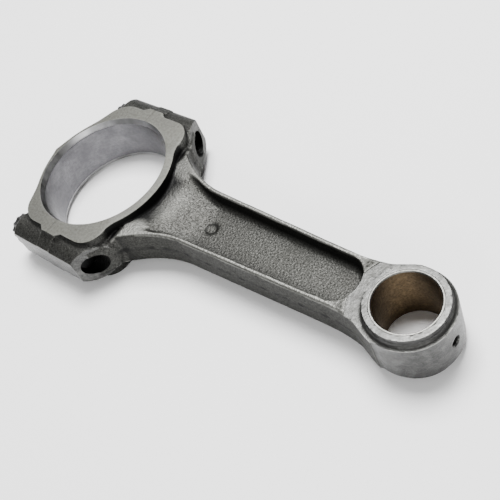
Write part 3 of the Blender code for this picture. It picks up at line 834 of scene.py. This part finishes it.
def dress(piece, names, index=None):
    # the named materials in the piece's slots, and each face's slot
    for name in names:
        piece.data.materials.append(materials[name])
    if index is not None:
        piece.data.polygons.foreach_set("material_index", index.astype(np.int32))


forgingFinish = dict(
    names=["forgedSkin", "milledFace", "honedBore", "turnedSteel", "threadedHoleShade", "dullFace",
           "boreChamferGlint", "brushedSide"],
    within=0.08, partingWithin=0.1, shoulderWithin=0.4, shoulderSide=27.5, seatSide=27,
    millWithin=0.05, millTo=18, discMargin=0.6, discFrom=139, discLean=0.25, boreMargin=0.02,
    chamferTilt=(0.25, 0.7), holeMargin=0.05, holeTo=30, oilMargin=0.3,
    shoulderFacing=0.9, millFacing=0.85, sideFacing=0.5, holeFacing=0.5, oilFacing=0.8)


def dressForging(piece):
    # each face takes its finish from where it is and which way it faces; a later line wins
    f, c, k = forging, capShape, forgingFinish
    centre, normal = facesOf(piece)
    x, y, z = centre.T
    v, w = np.abs(y), np.abs(z)
    level, endOn = np.abs(normal[:, 2]), np.abs(normal[:, 0])
    bigR, pinR = np.hypot(x, y), np.hypot(x - pinBoreDistance, y)
    index = np.zeros(len(x))

    def finish(name, where):
        index[where] = k["names"].index(name)

    finish("milledFace", (w > f["thrustHalf"] - k["within"]) & (x < f["beamMiddle"]))
    finish("milledFace", np.abs(x) < k["partingWithin"])
    finish("turnedSteel", v > f["sideFlatY"] - k["within"])
    facing = normal[:, 0] + f["shoulderSlope"] * normal[:, 1] * np.sign(y)
    facing = facing / math.hypot(1, f["shoulderSlope"])
    onShoulder = np.abs(screwShoulder(x, v)) < k["shoulderWithin"]
    finish("dullFace", onShoulder & (v > k["shoulderSide"]) & (facing > k["shoulderFacing"]))
    onSeat = np.abs(x - c["seatX"]) < k["partingWithin"]
    finish("dullFace", onSeat & (v > k["seatSide"]))
    milled = (pinR < f["millRadius"] - k["millWithin"]) & (w > f["millHalf"] - k["millWithin"])
    finish("turnedSteel", milled & ((level > k["millFacing"]) | (pinR < k["millTo"])))
    onDisc = pinR < f["smallBody"] + k["discMargin"]
    finish("turnedSteel", onDisc & (x > k["discFrom"] + k["discLean"] * w))
    turned = index == k["names"].index("turnedSteel")
    finish("brushedSide", turned & (level < k["sideFacing"]))
    bore = bigR < f["bigBore"] + f["chamferWidth"] + k["boreMargin"]
    finish("honedBore", bore)
    least, most = k["chamferTilt"]
    # the chamfer takes the look with painted glints
    finish("boreChamferGlint", bore & (level > least) & (level < most))
    # screw and oil hole walls take the near-black painted shade
    inHole = np.hypot(v - f["screwY"], z) < c["screwHole"] + k["holeMargin"]
    finish("threadedHoleShade", inHole & (x < k["holeTo"]) & (endOn < k["holeFacing"]))
    inOilHole = np.hypot(y, z) < f["oilHole"] + k["oilMargin"]
    finish("threadedHoleShade", inOilHole & (x > f["oilHoleFrom"]) & (endOn < k["oilFacing"]))
    dress(piece, k["names"], index)


dressForging(rodPiece)
dressForging(capPiece)
for screw in (screwNear, screwFar):
    screwCentre, screwNormal = facesOf(screw)
    # the screw tip takes the near-black painted shade of the hole it sits in
    onTip = screwCentre[:, 0] > screwShape["tipFrom"]
    onTip = onTip & (screwNormal[:, 0] > screwShape["tipFacing"])
    dress(screw, ["blackOxide", "threadedHoleShade"], onTip)
dress(dowelNear, ["groundPin"])
dress(dowelFar, ["groundPin"])
bushingCentre, bushingNormal = facesOf(bushing)
onEnd = np.abs(bushingNormal[:, 2]) > bushingShape["endFacing"]
dress(bushing, ["bushingBronze", "bushingEnd"], onEnd)

placement = (
    (rodPiece, "rod", "rod_forging", "forged_steel"),
    (capPiece, "cap", "bearing_cap", "cap_steel"),
    (screwNear, "screw_near", "cap_screw_near", "black_oxide_steel"),
    (screwFar, "screw_far", "cap_screw_far", "black_oxide_steel"),
    (bushing, "rod", "pin_bushing", "bushing_bronze"),
    (dowelNear, "rod", "dowel_near", "pin_steel"),
    (dowelFar, "rod", "dowel_far", "pin_steel"))
for piece, body, cadNode, slotName in placement:
    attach(piece, body)
    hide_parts(cadNode)
print("pieces placed on their bodies")

# places in mm about the big bore's centre; right, down and forward are the view's own axes
cameraView = dict(place=(265.10, -105.57, 245.47), right=(0.74829, 0.58402, -0.31461),
                  down=(0.33988, -0.74481, -0.57423), forward=(-0.56968, 0.32276, -0.75583),
                  lens=60.9, sensor=36, clipFrom=0.01)
cameraData = bpy.data.cameras.new("camera")
cameraData.lens, cameraData.sensor_width = cameraView["lens"], cameraView["sensor"]
cameraData.clip_start = cameraView["clipFrom"]
camera = bpy.data.objects.new("camera", cameraData)
right, down, forward = (np.array(cameraView[way]) for way in ("right", "down", "forward"))
turned = Matrix(np.stack([right, -down, -forward], 1).tolist()).to_quaternion()
cameraPlace = Vector(bigCentre + np.array(cameraView["place"]) * mm)
camera.matrix_world = Matrix.LocRotScale(cameraPlace, turned, None)
bpy.context.scene.collection.objects.link(camera)
bpy.context.scene.camera = camera

floorLook = dict(size=6.0, color=(0.97, 0.97, 0.97), roughness=0.7)
bpy.ops.mesh.primitive_plane_add(size=floorLook["size"], location=(0, 0, 0))
floor = bpy.context.object
floor.name = "floor"
floorPaint = bpy.data.materials.new("floorPaint")
floorPaint.use_nodes = True
floorShader = floorPaint.node_tree.nodes["Principled BSDF"]
floorShader.inputs["Base Color"].default_value = (*floorLook["color"], 1)
floorShader.inputs["Roughness"].default_value = floorLook["roughness"]
floor.data.materials.append(floorPaint)

# each lamp: name, place in metres, size and power; all of them face the object
studio = dict(worldStrength=0.45, worldColor=(1.0, 1.0, 1.0),
              lamps=[("topLamp", (-0.15, 0.30, 1.0), 0.5, 30.0),
                     ("sideLamp", (0.9, -0.5, 0.45), 0.4, 2.8),
                     ("windowLamp", (0.35, -0.75, 0.6), 0.25, 2.6)])
world = bpy.data.worlds.new("studio")
bpy.context.scene.world = world
world.use_nodes = True
backdrop = world.node_tree.nodes["Background"]
backdrop.inputs["Color"].default_value = (*studio["worldColor"], 1)
backdrop.inputs["Strength"].default_value = studio["worldStrength"]
for name, place, size, power in studio["lamps"]:
    lampData = bpy.data.lights.new(name, "AREA")
    lampData.energy, lampData.size = power, size
    lamp = bpy.data.objects.new(name, lampData)
    lamp.location = place
    lamp.rotation_euler = (-Vector(place)).to_track_quat("-Z", "Y").to_euler()
    bpy.context.scene.collection.objects.link(lamp)
print("camera, floor and lights set")
